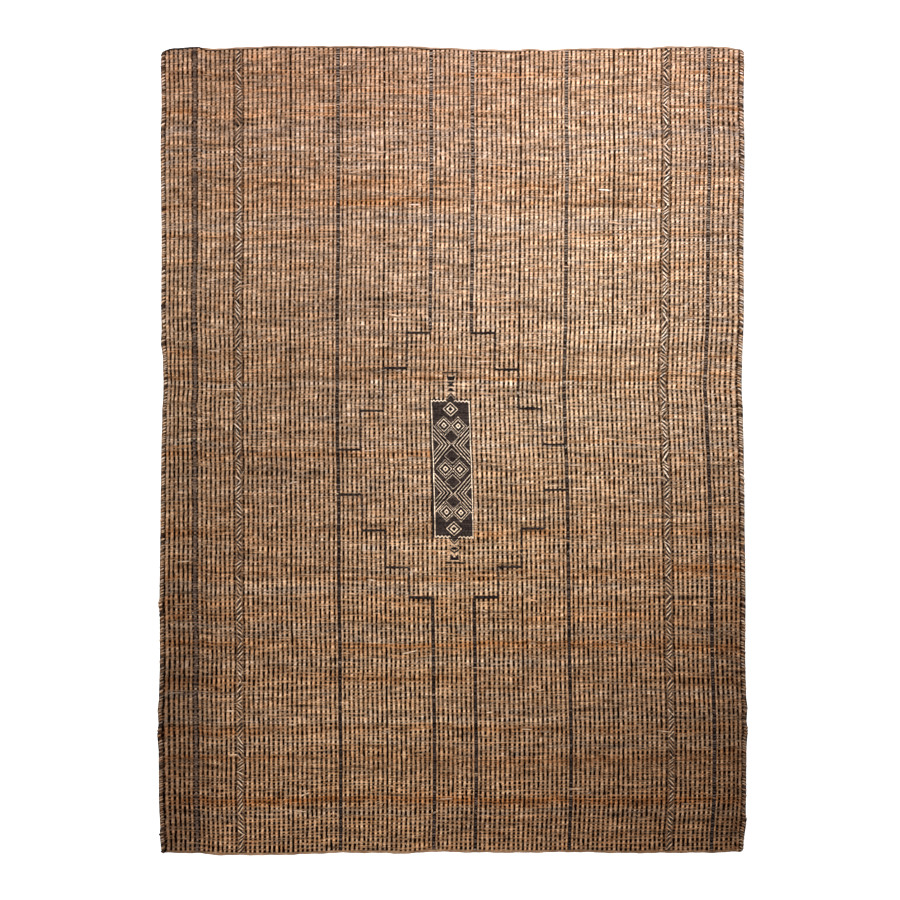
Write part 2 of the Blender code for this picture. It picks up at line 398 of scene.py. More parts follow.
def fibre_surface(material, colour, fibre_scale, depth, sheen=0.02, clump=0.0):
    """Fine fibres along the thread and uneven spinning, in the colour, the roughness and the bump."""
    tree = material.node_tree
    shader = tree.nodes["Principled BSDF"]
    place = add_node(tree, "ShaderNodeTexCoord").outputs["Object"]
    fibres = noise(tree, place, fibre_scale, 3.0, 0.65)
    light = stretched(tree, fibres, *FIBRE_LIGHT)
    if clump > 0:
        clumps = stretched(tree, noise(tree, place, CLUMPS, 0.5), 0.30, 0.70, 1.0 - clump, 1.0 + clump)
        light = math_node(tree, "MULTIPLY", light, clumps)
    tree.links.new(mixed(tree, 1.0, colour, light, "MULTIPLY"), shader.inputs["Base Color"])
    tree.links.new(stretched(tree, fibres, *FIBRE_ROUGHNESS), shader.inputs["Roughness"])
    bump = add_node(tree, "ShaderNodeBump", inputs={"Height": fibres, "Strength": 0.6, "Distance": depth})
    tree.links.new(bump.outputs[0], shader.inputs["Normal"])
    shader.inputs["Specular IOR Level"].default_value = 0.08
    shader.inputs["Sheen Weight"].default_value = sheen
    shader.inputs["Sheen Roughness"].default_value = 0.5


def new_finish(name):
    """A new material with its shader."""
    material = bpy.data.materials.new(name)
    material.use_nodes = True
    return material


ground = new_grid("woven_ground", 2 * COLUMNS, GROUND_ROWS)
shell = ground.modifiers.new("thickness", "SOLIDIFY")
shell.thickness = 0.1
shell.offset = 0.0
apply_modifiers(ground)
spots = points_of(ground)
column = (spots[:, 0] + 0.5) * COLUMNS
row = (spots[:, 1] + 0.5) * ROWS
above = spots[:, 2] > 0
half_columns = np.round(column * 2).astype(int)
rim = half_columns % (2 * COLUMNS) == 0
rib = np.where(rim, 1, 1 - half_columns % 2) * GROUND_RIB
below = np.where((row < 1) | (row > ROWS - 1), OVER_TAPE, rib)
level = np.where(above, np.where(rim, GROUND_RIM, GROUND_TOP), below)
put_points(ground, *lay(column, row, level))
lay_map(ground, "weave", column, row)
bpy.ops.object.shade_smooth_by_angle(angle=math.radians(50))

# Seen from below: straw bumps in rows, dark warp dots in the grooves between them. The edges of a dot
# across and along in columns and rows, and the light from the joins to the crest of a row
DOT_ACROSS = (0.12, 0.27)
DOT_ALONG = (0.20, 0.08)
CREST_LIGHT = (0.0, 0.5, 0.72, 1.08)
DOT_COLOUR = (0.016, 0.009, 0.006, 1.0)
ground_finish = new_finish("jute_underside")
tree = ground_finish.node_tree
weave_place = add_node(tree, "ShaderNodeUVMap", {"uv_map": "weave"}).outputs[0]
split = add_node(tree, "ShaderNodeSeparateXYZ", inputs={0: weave_place})
to_groove = math_node(tree, "PINGPONG", split.outputs["X"], 0.5)
to_join = math_node(tree, "PINGPONG", split.outputs["Y"], 0.5)
yarn_mask = math_node(
    tree, "MAXIMUM", stretched(tree, to_groove, *DOT_ACROSS, way="SMOOTHSTEP"),
    stretched(tree, to_join, *DOT_ALONG, way="SMOOTHSTEP"),
)
cell = add_node(tree, "ShaderNodeVectorMath", {"operation": "FLOOR"}, {0: weave_place}).outputs[0]
by_stitch = add_node(tree, "ShaderNodeTexWhiteNoise", inputs={"Vector": cell}).outputs["Value"]
by_row = noise(tree, weave_place, (0.10, 0.45, 1.0), 2.0)
tone = math_node(tree, "MULTIPLY_ADD", by_stitch, 0.45)
tree.links.new(by_row, tone.node.inputs[2])
yarn = ramp(tree, math_node(tree, "MULTIPLY", tone, 0.72), (
    (0.10, (0.16, 0.075, 0.030)), (0.34, (0.36, 0.20, 0.105)), (0.60, (0.56, 0.36, 0.21)),
    (0.85, (0.72, 0.52, 0.35)),
))
crest_light = stretched(tree, to_join, *CREST_LIGHT)
yarn = mixed(tree, 1.0, yarn, crest_light, "MULTIPLY")
under = mixed(tree, yarn_mask, DOT_COLOUR, yarn)
# The underside takes the same painted shade by place as the face
fibre_surface(ground_finish, with_painted_shade(tree, under), (90.0, 700.0, 700.0), 0.0006)
relief = math_node(tree, "MULTIPLY", yarn_mask, crest_light)
shader = tree.nodes["Principled BSDF"]
fine = shader.inputs["Normal"].links[0].from_socket
relief_bump = add_node(
    tree, "ShaderNodeBump", inputs={"Height": relief, "Strength": 0.9, "Distance": 0.002, "Normal": fine}
)
tree.links.new(relief_bump.outputs[0], shader.inputs["Normal"])

# Above, the ground shows only in the grooves, as near-black warp: the warp's own dark colour with painted
# shade of the deep grooves, darker still towards the near end with the painted fall-off of light
warp_finish = new_finish("dark_warp_and_shade")
tree = warp_finish.node_tree
warp_dye_and_shade = ramp(tree, place_on_rug(tree)[1], (
    (0.0, (0.00396, 0.00187, 0.00099)), (0.6, (0.0108, 0.0051, 0.0027)), (1.0, (0.018, 0.0085, 0.0045)),
))
fibre_surface(warp_finish, with_painted_shade(tree, warp_dye_and_shade), (800.0, 150.0, 800.0), 0.0004, sheen=0.0)
tree.nodes["Principled BSDF"].inputs["Specular IOR Level"].default_value = 0.0
ground.data.materials.append(ground_finish)
ground.data.materials.append(warp_finish)
facing_up = np.empty(len(ground.data.polygons) * 3)
ground.data.polygons.foreach_get("normal", facing_up)
ground.data.polygons.foreach_set(
    "material_index", (facing_up.reshape(-1, 3)[:, 2] > 0.3).astype(np.int32)
)
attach(ground, "root")
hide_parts("rug")

# The face of the weave: thick handspun jute weft, packed in rows, which bulges into a rib in each
# column and crosses the dark warp in a thin join between rows. The three pieces are thirds of one cloth.

HOLE_HALF = 0.20
JOIN_HALF = 0.18
CREST_SPOTS = (0.37, 0.63)
CREST_SHARES = (0.28, 0.72)
RIB_TOP = 0.0090
RIB_JOIN = 0.0075
RIB_SIDE = 0.0058
ZIGZAG_BED = 0.0022
JOINS_GONE = ((0.0, 0.4, 0.75, 1.0), (0.12, 0.09, 0.06, 0.04))
OPENING = ((0.0, 0.4, 0.75, 1.0), (0.242, 0.205, 0.166, 0.142))
END_THIN = 1.6
END_HEIGHT = 0.62
GROOVE_PINCH = 0.80
SPIN_HEIGHT = 0.0004
# Grooves that carry a charcoal line, and the gap that the lozenge leaves in it, by place along the rug
STRONG_LINES = (
    (38, 0.0, 0.0), (58, -0.4272, 0.3435), (67, -0.4266, 0.3418), (87, 0.0, 0.0), (117, 0.0, 0.0),
)
THIN_LINES = ((28, 0.0, 0.0), (48, -0.2327, 0.1158), (77, -0.2274, 0.1213), (97, 0.0, 0.0))
LINE_HALF = 0.40
THIN_HALF = 0.23
THIN_CUT = 0.50
GREY_COLUMN = 7
ZIGZAG_GROOVES = (17, 108)
PANEL_COLUMNS = (58.0, 67.0)
PANEL_ENDS = (-0.2590, 0.1516)

# Bands of rows that read rust brown, and bands that read pale grey: place along the rug, half height and
# strength. The broad ones are listed, and the fine ones fall by chance.
RUST_BANDS = (
    (0.99, 0.012, 0.6), (0.78, 0.012, 0.6), (0.72, 0.015, 0.6), (0.63, 0.012, 0.6), (0.28, 0.010, 0.6),
    (0.21, 0.010, 0.6), (-0.01, 0.015, 0.5), (-0.24, 0.015, 0.5), (-0.35, 0.010, 0.9),
    (-0.44, 0.012, 0.5), (-0.49, 0.015, 0.5), (-0.57, 0.015, 0.9), (-0.68, 0.015, 0.5),
    (-0.82, 0.012, 0.5), (-0.90, 0.015, 0.6), (-1.03, 0.012, 1.0),
)
GREY_BANDS = (
    (0.93, 0.015, 0.5), (0.83, 0.015, 0.5), (0.67, 0.015, 0.5), (0.02, 0.010, 0.5), (-0.41, 0.015, 0.5),
    (-0.54, 0.025, 0.5), (-0.62, 0.012, 0.5), (-0.71, 0.015, 0.5), (-0.79, 0.012, 0.5),
    (-0.87, 0.025, 0.5), (-1.06, 0.012, 0.5),
)
FINE_COUNTS = (18, 14)
FINE_BAND = (0.006, 0.45)
BAND_SOFTNESS = 1.1
# How much of a band shows in a stitch, and how that varies from one patch of so many columns to the next
RUST_SHOWS = (0.75, 0.40)
GREY_SHOWS = (0.60, -0.35)
PATCH_COLUMNS = 24.0
# The jute's tone, and how it varies by row, over long, middle and short runs of a row, and by stitch; then
# the same runs and stitches in its warmth, and how many stitches are pale and by how much. Rusty yarn is
# darker, and neighbouring rows differ more than by chance.
TONE = 0.652
ROW_TONE = 0.018
RUN_LENGTHS = (12.0, 5.0, 2.0)
RUN_TONES = (0.040, 0.042, 0.030)
STITCH_TONE = 0.025
WARMTHS = (0.10, 0.14, 0.15)
PALE_STITCHES = (0.025, 0.14)
RUST_DARKER = 0.13
BROAD_TONE = 0.016
ROW_CONTRAST = 0.15
# Painted shade and highlight: how a stitch's tone falls from its lit crest to its shaded groove, in the
# middle of a row and at its joins, and how much it strays there
PAINTED_RELIEF_SHADE = {"crest": (1.0, 0.82, 0.065), "groove": (0.34, 0.56, 0.08)}


def row_at(column, along):
    """The row, with its fraction, that lies at a place along the rug in a column."""
    rows = np.arange(ROWS + 1.0)
    return float(np.interp(along, lay(np.full(ROWS + 1, float(column)), rows, 0 * rows)[1], rows))


def banded(table, along):
    """How strongly a table of rows colours each place along the rug."""
    strength = np.zeros_like(along)
    for place, half, amount in table:
        strength = np.maximum(strength, amount * np.exp(-(((along - place) / (BAND_SOFTNESS * half)) ** 2)))
    return strength


def lively(runs):
    """Makes neighbouring rows differ more, as threads of uneven twist do side by side."""
    return runs - ROW_CONTRAST * (np.roll(runs, 1, axis=0) + np.roll(runs, -1, axis=0))


stitch_dice = np.random.default_rng(23)
row_middle = ((row_marks[1:] + row_marks[:-1]) - 1) * HALF_LENGTH
band_dice = np.random.default_rng(41)
rust, grey = (
    banded(
        bands + tuple((place, *FINE_BAND) for place in band_dice.uniform(-1.16, 1.16, count)), row_middle
    )[:, None] * np.ones((1, COLUMNS))
    for bands, count in zip((RUST_BANDS, GREY_BANDS), FINE_COUNTS)
)
patch = soft_noise(stitch_dice, ROWS, COLUMNS, 1.0, PATCH_COLUMNS)
long_run, middle_run, short_run = (
    lively(soft_noise(stitch_dice, ROWS, COLUMNS, 1.0, run)) for run in RUN_LENGTHS
)
spin_noise = stitch_dice.standard_normal((ROWS, COLUMNS))
warmth = rust * (RUST_SHOWS[0] + RUST_SHOWS[1] * patch) - grey * (GREY_SHOWS[0] + GREY_SHOWS[1] * patch)
warmth = warmth + WARMTHS[0] * long_run + WARMTHS[1] * middle_run + WARMTHS[2] * spin_noise
warmth = np.clip(0.5 + 0.5 * warmth, 0.0, 1.0)
row_tone = ROW_TONE * stitch_dice.standard_normal((ROWS, 1))
broad = soft_noise(stitch_dice, ROWS, COLUMNS, 2.5, PATCH_COLUMNS)
tone = TONE + row_tone
for amount, runs in zip(RUN_TONES, (long_run, middle_run, short_run)):
    tone = tone + amount * runs
tone = tone + STITCH_TONE * stitch_dice.standard_normal((ROWS, COLUMNS))
tone = tone - RUST_DARKER * np.clip(warmth - 0.5, 0.0, 1.0) + BROAD_TONE * broad
pale = stitch_dice.random((ROWS, COLUMNS)) < PALE_STITCHES[0]
tone = np.clip(tone + PALE_STITCHES[1] * pale, 0.10, 1.0)

# Per groove and row: half width of the dark hole, sideways stray, height of the join, join missing. The
# weave is closer at the far end and more open at the near end.
HOLES = (ROWS, COLUMNS + 1)
JOINS = (ROWS + 1, COLUMNS + 1)
# How uneven they are: by chance at each groove and row, and softly over several
HOLE_UNEVEN = (0.022, 0.022)
HOLE_STRAY = (0.030, 0.035)
JOIN_UNEVEN = (0.025, 0.035)
JOIN_SHIFT = (0.05, 0.12)
# How much the odds of a missing join vary, and over how many rows and columns. It is open at the far left.
GONE_UNEVEN = ((0.10, 14.0, 16.0), (0.11, 1.0, 5.0))
GONE_AT_LEFT = 0.25
# A slub is a thick lump in the yarn that fills its join
SLUB_OVER = 1.45
SLUB_HALF = 0.26
along_share = (row_marks[1:] + row_marks[:-1])[:, None] / 2
hole_half = np.interp(along_share, *OPENING) + HOLE_UNEVEN[0] * stitch_dice.standard_normal(HOLES)
hole_half = hole_half + HOLE_UNEVEN[1] * soft_noise(stitch_dice, *HOLES, 1.0, 6.0)
hole_stray = HOLE_STRAY[0] * stitch_dice.standard_normal(HOLES)
hole_stray = hole_stray + HOLE_STRAY[1] * soft_noise(stitch_dice, *HOLES, 4.0, 1.0)
join_half = JOIN_HALF + JOIN_UNEVEN[0] * stitch_dice.standard_normal(JOINS)
join_half = join_half + JOIN_UNEVEN[1] * soft_noise(stitch_dice, *JOINS, 1.0, 6.0)
join_shift = JOIN_SHIFT[1] * soft_noise(stitch_dice, *JOINS, 1.0, 3.0)
join_shift = join_shift + JOIN_SHIFT[0] * stitch_dice.standard_normal(JOINS)
slub = soft_noise(stitch_dice, *JOINS, 1.0, 3.0) > SLUB_OVER
join_half = np.clip(np.where(slub, SLUB_HALF, join_half), 0.04, 0.30)
missing_odds = np.interp(row_marks[:, None], *JOINS_GONE)
for amount, row_run, column_run in GONE_UNEVEN:
    missing_odds = missing_odds + amount * soft_noise(stitch_dice, *JOINS, row_run, column_run)
missing_odds[:, :GREY_COLUMN] += GONE_AT_LEFT
join_missing = (stitch_dice.random(JOINS) < missing_odds) & ~slub
for lines, half in ((STRONG_LINES, LINE_HALF), (THIN_LINES, THIN_HALF)):
    for groove, gap_low, gap_high in lines:
        on_line = np.ones(ROWS + 1, dtype=bool)
        if gap_low != gap_high:
            on_line[int(row_at(groove, gap_low)) : int(row_at(groove, gap_high)) + 1] = False
        cut = on_line & (stitch_dice.random(ROWS + 1) < (1.0 if half == LINE_HALF else THIN_CUT))
        join_missing[cut, groove] = True
        rows = on_line[:ROWS]
        hole_half[rows, groove] = half + 0.015 * stitch_dice.standard_normal(rows.sum())
        hole_stray[rows, groove] *= 0.5

# Where the finer threads of the two figures take the place of the ribs: columns, and ends along the rug
FIGURE_CUTS = (((61.60, 63.70), (0.1300, 0.2206)), ((61.75, 63.85), (-0.3228, -0.2380)))

# Charcoal share of each stitch: the soft grey stripe, and the dim bed under the zigzags. The outermost
# ribs are dim too.
STRIPE_DARK = (0.50, 0.15)
BED_DARK = 0.12
BED_TONE = 0.72
OUTERMOST_TONE = 0.50
dark_share = np.zeros((ROWS, COLUMNS))
stripe = STRIPE_DARK[0] + STRIPE_DARK[1] * stitch_dice.standard_normal(ROWS)
dark_share[:, GREY_COLUMN] = np.clip(stripe, 0.0, 1.0)
for groove in ZIGZAG_GROOVES:
    dark_share[:, groove - 1 : groove + 1] = BED_DARK
    tone[:, groove - 1 : groove + 1] *= BED_TONE
tone[:, (0, COLUMNS - 1)] *= OUTERMOST_TONE

# The finish: straw to brown by the thread's own tone, rust or grey by its warmth, charcoal where dyed
jute_finish = new_finish("jute_yarn")
tree = jute_finish.node_tree
thread = add_node(tree, "ShaderNodeAttribute", {"attribute_name": "thread"}).outputs["Color"]
split = add_node(tree, "ShaderNodeSeparateColor", inputs={0: thread})
thread_tone, thread_warmth, thread_dark = (split.outputs[k] for k in range(3))
plain = ramp(tree, thread_tone, (
    (0.05, (0.014, 0.005, 0.002)), (0.30, (0.15, 0.080, 0.039)), (0.55, (0.49, 0.32, 0.205)),
    (0.78, (0.77, 0.58, 0.43)), (1.00, (0.93, 0.78, 0.64)),
))
rusty = ramp(tree, thread_tone, (
    (0.05, (0.014, 0.004, 0.001)), (0.30, (0.14, 0.050, 0.013)), (0.55, (0.46, 0.21, 0.082)),
    (0.78, (0.73, 0.41, 0.21)), (1.00, (0.89, 0.62, 0.39)),
))
greyed = ramp(tree, thread_tone, (
    (0.05, (0.014, 0.008, 0.005)), (0.30, (0.14, 0.105, 0.086)), (0.55, (0.46, 0.38, 0.325)),
    (0.78, (0.74, 0.64, 0.59)), (1.00, (0.90, 0.82, 0.77)),
))
jute = mixed(tree, stretched(tree, thread_warmth, 0.5, 1.0), plain, rusty)
# The jute takes painted shade by its place on the rug
jute = with_painted_shade(tree, mixed(tree, stretched(tree, thread_warmth, 0.5, 0.0), jute, greyed))
charcoal = mixed(tree, thread_tone, (0.010, 0.006, 0.005, 1.0), (0.100, 0.068, 0.058, 1.0))
yarn = mixed(tree, thread_dark, jute, charcoal)
fibre_surface(jute_finish, yarn, (110.0, 900.0, 900.0), 0.0007, clump=0.49)


# The warmth of a thread that is neither rust brown nor grey
NEUTRAL = 0.5


def colour_threads(obj, tone, warmth, dark, part="POINT"):
    """Stores the tone, warmth and charcoal share of each point or face for the finish."""
    layer = obj.data.attributes.new("thread", "FLOAT_COLOR", part)
    four = np.stack([tone, warmth + 0 * tone, dark + 0 * tone, np.ones_like(tone)], axis=1)
    layer.data.foreach_set("color", four.astype(np.float32).ravel())


def plan_map(obj):
    """A flat map of the piece seen from above, for a surface that never folds over itself."""
    flat = points_of(obj)[:, :2]
    low, high = flat.min(axis=0), flat.max(axis=0)
    lay_map(obj, "OFBake", *(0.005 + 0.99 * (flat - low) / (high - low)).T)


def dress(obj, material):
    """Gives a piece of the weave its finish and its place in the frame."""
    obj.data.materials.append(material)
    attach(obj, "root")


def repeat(obj, label, count, offset, join=0.0):
    """Repeats a mesh at an offset. Where a distance is given, copies that meet within it are joined."""
    copies = obj.modifiers.new(label, "ARRAY")
    copies.count = count
    copies.use_relative_offset = False
    copies.use_constant_offset = True
    copies.constant_offset_displace = offset
    copies.use_merge_vertices = join > 0
    copies.merge_threshold = join


def drop_faces(obj, unwanted):
    """Deletes the faces that are marked in an array."""
    pick(obj)
    bpy.context.tool_settings.mesh_select_mode = (False, False, True)
    obj.data.vertices.foreach_set("select", np.zeros(len(obj.data.vertices), dtype=bool))
    obj.data.edges.foreach_set("select", np.zeros(len(obj.data.edges), dtype=bool))
    obj.data.polygons.foreach_set("select", np.asarray(unwanted, dtype=bool))
    bpy.ops.object.mode_set(mode="EDIT")
    bpy.ops.mesh.delete(type="FACE")
    bpy.ops.object.mode_set(mode="OBJECT")


def face_middles(obj):
    """The middle of each face."""
    flat = np.empty(len(obj.data.polygons) * 3)
    obj.data.polygons.foreach_get("center", flat)
    return flat.reshape(-1, 3)


def stitch_sheet(name, rows):
    """One stitch with its joins, modelled once and repeated over all columns and so many rows."""
    piece = new_grid(name, 4, 3)
    grid = points_of(piece)
    across = np.array([HOLE_HALF, *CREST_SPOTS, 1 - HOLE_HALF, 1 + HOLE_HALF])
    along = np.array([-JOIN_HALF, JOIN_HALF, 0.5, 1 - JOIN_HALF])
    step_x = np.round((grid[:, 0] + 0.5) * 4).astype(int)
    step_y = np.round((grid[:, 1] + 0.5) * 3).astype(int)
    put_points(piece, across[step_x], along[step_y], 0 * grid[:, 2])
    middles = face_middles(piece)
    drop_faces(piece, (middles[:, 0] > 1 - HOLE_HALF) & (middles[:, 1] > JOIN_HALF))
    repeat(piece, "columns", COLUMNS, (1.0, 0.0, 0.0), join=0.004)
    repeat(piece, "rows", rows, (0.0, 1.0, 0.0), join=0.004)
    apply_modifiers(piece)
    return piece


def open_up(piece, first_row):
    """Takes out the missing joins, and the ribs where the panel and the figures lie."""
    middles = face_middles(piece)
    groove = np.clip(np.round(middles[:, 0]).astype(int), 0, COLUMNS)
    join = np.clip(first_row + np.round(middles[:, 1]).astype(int), 0, ROWS)
    is_join = np.abs(middles[:, 0] - groove) < 0.05
    unwanted = is_join & ((groove == COLUMNS) | join_missing[join, groove])
    place_row = first_row + middles[:, 1]
    for columns, ends in ((PANEL_COLUMNS, PANEL_ENDS), *FIGURE_CUTS):
        low, high = (row_at(sum(columns) / 2, along) for along in ends)
        unwanted |= (
            (middles[:, 0] > columns[0]) & (middles[:, 0] < columns[1])
            & (place_row > low + 0.4) & (place_row < high - 0.4)
        )
    drop_faces(piece, unwanted)


def weft_third(name, first_row, rows):
    """One third of the face: its stitches are opened up, given their own uneven shape and laid."""
    piece = stitch_sheet(name, rows)
    open_up(piece, first_row)
    spots = points_of(piece)
    c, r = spots[:, 0], spots[:, 1] + first_row
    cell = np.floor(c + 1e-6).astype(int)
    part = c - cell
    kinds = np.array([HOLE_HALF, *CREST_SPOTS, 1 - HOLE_HALF])
    kind = np.argmin(np.abs(part[:, None] - kinds), axis=1)
    over = cell >= COLUMNS
    cell = np.minimum(cell, COLUMNS - 1)
    row_low = np.round(r - 0.5 + 1e-6)
    at_middle = np.abs(r - row_low - 0.5) < 0.05
    boundary = np.round(r).astype(int)
    below_join = (~at_middle) & (r < boundary)
    row_of = np.where(at_middle, row_low, np.where(below_join, boundary - 1, boundary)).astype(int)
    row_of = np.clip(row_of, 0, ROWS - 1)
    boundary = np.clip(boundary, 0, ROWS)

    groove = np.where(kind >= 2, cell + 1, cell)
    pinch = np.where(at_middle, 1.0, GROOVE_PINCH)
    left_edge = hole_half[row_of, cell] * pinch + hole_stray[row_of, cell]
    right_edge = 1 - hole_half[row_of, cell + 1] * pinch + hole_stray[row_of, cell + 1]
    rib_share = np.array([0.0, *CREST_SHARES, 1.0])[kind]
    new_c = cell + left_edge + (right_edge - left_edge) * rib_share
    new_c = np.where(over, COLUMNS - 0.02, new_c)
    height = join_half[boundary, groove] * np.where(below_join, -1, 1)
    new_r = np.where(at_middle, row_low + 0.5, boundary + height)
    both_joins = join_shift[row_of, groove] + join_shift[row_of + 1, groove]
    shift = np.where(at_middle, 0.5 * both_joins, join_shift[boundary, groove])
    new_r = np.clip(new_r + shift, 0.0, ROWS)
    crest = (kind == 1) | (kind == 2)
    z = np.where(crest, np.where(at_middle, RIB_TOP, RIB_JOIN), RIB_SIDE)
    z = z + SPIN_HEIGHT * spin_noise[row_of, cell] * crest
    for zigzag in ZIGZAG_GROOVES:
        z = z - ZIGZAG_BED * ((cell == zigzag - 1) | (cell == zigzag)) * crest
    ends = np.clip(np.minimum(new_r, ROWS - new_r) / END_THIN, 0.0, 1.0)
    z = z * (END_HEIGHT + (1 - END_HEIGHT) * np.sqrt(ends))
    put_points(piece, *lay(new_c, new_r, z))

    # Painted shade: each point's tone falls from the lit crest to the shaded groove sides and joins
    middle_painted_shade, join_painted_shade, stray = (
        np.where(crest, *values) for values in zip(PAINTED_RELIEF_SHADE["crest"], PAINTED_RELIEF_SHADE["groove"])
    )
    value = tone[row_of, cell] * np.where(at_middle, middle_painted_shade, join_painted_shade)
    value = value + stray * stitch_dice.standard_normal(len(c))
    colour_threads(piece, np.clip(value, 0.0, 1.0), warmth[row_of, cell], dark_share[row_of, cell])
    piece.data.shade_smooth()
    plan_map(piece)
    dress(piece, jute_finish)
    return piece


third = ROWS // 3
face_pieces = [
    weft_third(f"weft_{label}", number * third, third)
    for number, label in enumerate(("near", "middle", "far"))
]

# The warp: near-black threads that run the length of the rug in the grooves and show as dots or
# short dashes between the weft's joins.

WARP_HALF = 0.23
WARP_TOP = 0.0050

warp = new_grid("warp_threads", 1, ROWS // 2)
repeat(warp, "threads", COLUMNS - 1, (2.0, 0.0, 0.0))
apply_modifiers(warp)
spots = points_of(warp)
groove = np.round(spots[:, 0] / 2).astype(int) + 1
across = spots[:, 0] - 2 * (groove - 1)
r = np.clip((spots[:, 1] + 0.5) * ROWS, 0.0, ROWS)
row_index = np.clip(np.round(r).astype(int), 0, ROWS - 1)
c = groove + 2 * WARP_HALF * across + 0.6 * hole_stray[row_index, groove]
z = WARP_TOP * (0.7 + 0.3 * np.clip(np.minimum(r, ROWS - r), 0.0, 1.0))
put_points(warp, *lay(c, r, z))
warp.data.shade_smooth()
plan_map(warp)
dress(warp, warp_finish)

# The charcoal lines: a dark thread stitched over the grooves in short cross stitches, as long lines
# from end to end and as the upright sides of a stepped lozenge round the middle. A soft grey stripe on
# a rib near the left side is stitched in the same way.

COLUMN_PITCH = 0.0137
ROW_PITCH = 0.0098
BEAD_STEP = 3.0
CROSS_STITCH_ROWS = 0.72
STITCH_REACH = 0.48
STITCH_HEIGHT = 0.0068
LOZENGE_REACH = 0.34
LOZENGE_HEIGHT = 0.0086
GREY_REACH = 0.40
GREY_HEIGHT = 0.0088
# A stitch's half width, the least and most of it, and its half thickness
STITCH_HALF = 0.0023
STITCH_HALVES = (0.0014, 0.0032)
STITCH_THICK = 0.0022
# The lines' shade at the near end and how much paler they grow, the same for how many stitches are faded
# and for how black the others are, and how black a faded one is. One line is a little darker.
LINE_SHADE = (0.24, 0.82)
FADED_SHARE = (0.12, 0.10)
LINE_BLACK = (0.92, -0.20)
FADED_BLACK = 0.55
DARKER_LINE = (38, 0.85)
LOZENGE_SHADE = 0.10
GREY_SHADE = 0.45
GREY_BLACK = 0.85
# The lozenge by quarters: its grooves from the middle outwards, and each level side's place along
LOZENGE = (
    ((58, 53, 48, 43, 38), (0.3435, 0.2414, 0.1158, 0.0029)),
    ((67, 72, 77, 82, 87), (0.3418, 0.2368, 0.1213, 0.0181)),
    ((58, 53, 48, 43, 38), (-0.4272, -0.3403, -0.2327, -0.1283)),
    ((67, 72, 77, 82, 87), (-0.4266, -0.3386, -0.2274, -0.1143)),
)


def repeated_bead(name, count, sides, rings):
    """A closed bead of radius 1, long way up, in so many copies. Gives each point's copy and place too."""
    bpy.ops.object.select_all(action="DESELECT")
    bpy.ops.mesh.primitive_uv_sphere_add(segments=sides, ring_count=rings, radius=1.0)
    obj = bpy.context.object
    obj.name = name
    repeat(obj, "copies", count, (BEAD_STEP, 0.0, 0.0))
    apply_modifiers(obj)
    spots = points_of(obj)
    copy = np.round(spots[:, 0] / BEAD_STEP).astype(int)
    spots[:, 0] -= copy * BEAD_STEP
    return obj, copy, spots


def lay_strokes(obj, copy, bead, middle, reach, radii, height, bow=0.0, over_ribs=0.0):
    """Turns each bead into a straight or bowed stroke on the weave, as far as its reach both ways."""
    s = bead[:, 2]
    c_mid, r_mid = (np.asarray(part)[copy] for part in middle)
    c_reach, r_reach = (np.asarray(part)[copy] for part in reach)
    x_way, y_way = c_reach * COLUMN_PITCH, r_reach * ROW_PITCH
    length = np.maximum(np.hypot(x_way, y_way), 1e-6)
    across_x, across_y = -y_way / length, x_way / length
    wide, thick = (np.asarray(part)[copy] for part in radii)
    sideways = bead[:, 0] * wide + np.broadcast_to(bow, c_mid.shape) * (1 - s * s)
    column = c_mid + c_reach * s + sideways * across_x / COLUMN_PITCH
    row = r_mid + r_reach * s + sideways * across_y / ROW_PITCH
    level = np.asarray(height)[copy] + bead[:, 1] * thick
    level = level - over_ribs * np.cos(2 * np.pi * column)
    put_points(obj, *lay(column, np.clip(row, 0.0, ROWS), level))
    obj.data.shade_smooth()


def uneven(dice, count, usual=0.0, stray=1.0):
    """So many values that stray from the usual one by chance."""
    return usual + stray * dice.standard_normal(count)


line_dice = np.random.default_rng(37)
# Each upright: groove, first and last row, and 1 where it belongs to the lozenge
uprights = []
for groove, gap_low, gap_high in STRONG_LINES:
    uprights.append((groove, 0.0, row_at(groove, gap_low), 0))
    uprights.append((groove, row_at(groove, gap_high), float(ROWS), 0))
for grooves, places in LOZENGE:
    for groove, first, second in zip(grooves[1:], places, places[1:]):
        uprights.append((groove, *sorted((row_at(groove, first), row_at(groove, second))), 1))
uprights.append((GREY_COLUMN + 0.5, 0.0, float(ROWS), 0))
stitches = []
for groove, low, high, kind in uprights:
    number = max(int((high - low) / CROSS_STITCH_ROWS), 0)
    for k in range(number):
        stitches.append((groove, low + (k + 0.5) * (high - low) / number, kind))
place, row, in_lozenge = np.array(stitches).T
is_grey = place % 1 > 0
count = len(stitches)
lines, copy, bead = repeated_bead("charcoal_lines", count, 4, 4)
lean = uneven(line_dice, count, stray=0.16)
middle = (uneven(line_dice, count, place, stray=0.03), uneven(line_dice, count, row, stray=0.08))
reach = np.where(is_grey, GREY_REACH, np.where(in_lozenge > 0, LOZENGE_REACH, STITCH_REACH))
reach = uneven(line_dice, count, reach, stray=0.06)
wide = np.clip(uneven(line_dice, count, STITCH_HALF, stray=0.0004), *STITCH_HALVES)
height = np.where(is_grey, GREY_HEIGHT, np.where(in_lozenge > 0, LOZENGE_HEIGHT, STITCH_HEIGHT))
lay_strokes(lines, copy, bead, middle, (reach, lean), (wide, np.full(count, STITCH_THICK)), height)
